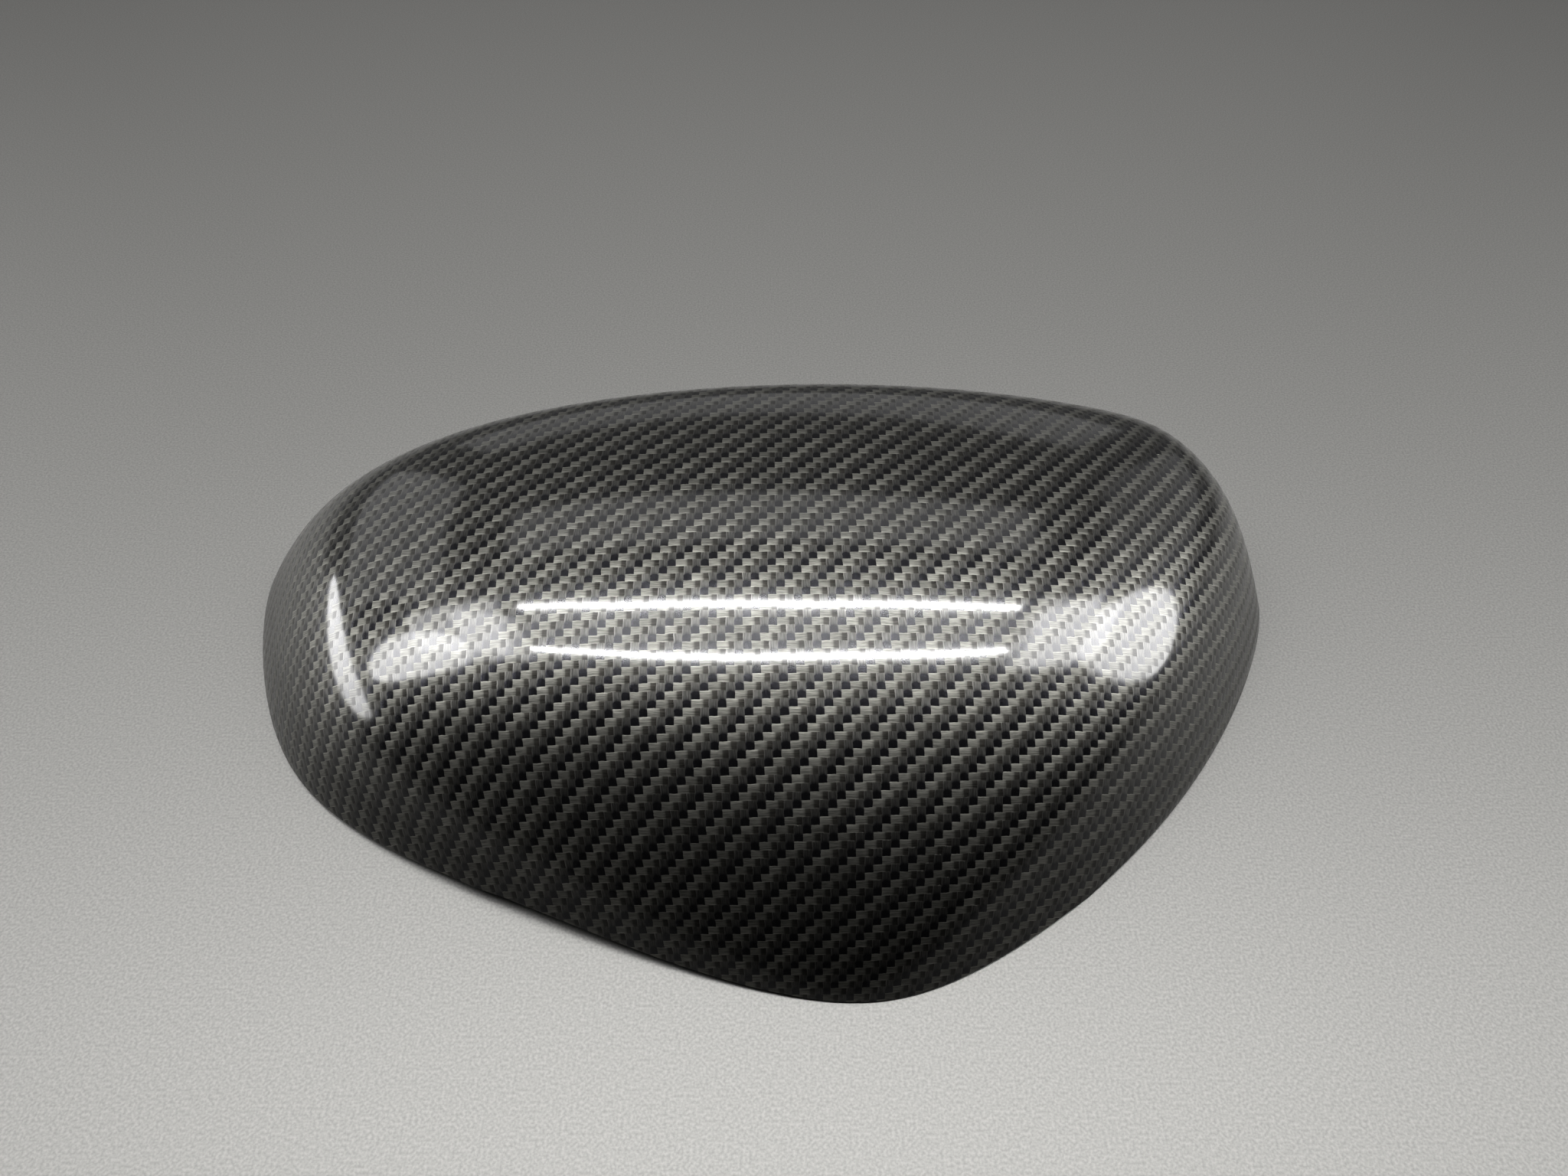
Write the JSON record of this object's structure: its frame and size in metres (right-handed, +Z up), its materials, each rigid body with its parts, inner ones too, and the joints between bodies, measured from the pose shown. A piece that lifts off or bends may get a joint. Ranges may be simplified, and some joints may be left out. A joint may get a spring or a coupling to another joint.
{
  "type": "wing mirror cover",
  "caption": "Domed clip-on wing mirror cover: a thin moulded shell with a rounded triangular rim, glossy carbon-look print outside, locating pins and snap hooks inside.",
  "frame": {"origin": "middle of the rim plane, under the middle of the cover's outline", "axes": "+X along the cover's length, +Y across it towards the far long wall, +Z up from the rim to the crown"},
  "size_m": [0.2095, 0.1295, 0.0434],
  "materials": {
    "printed_shell": "twill carbon-look print over a silver base under a glossy clear coat"
  },
  "bodies": {
    "root": {"mirror_cover": "printed_shell"}
  },
  "joints": []
}
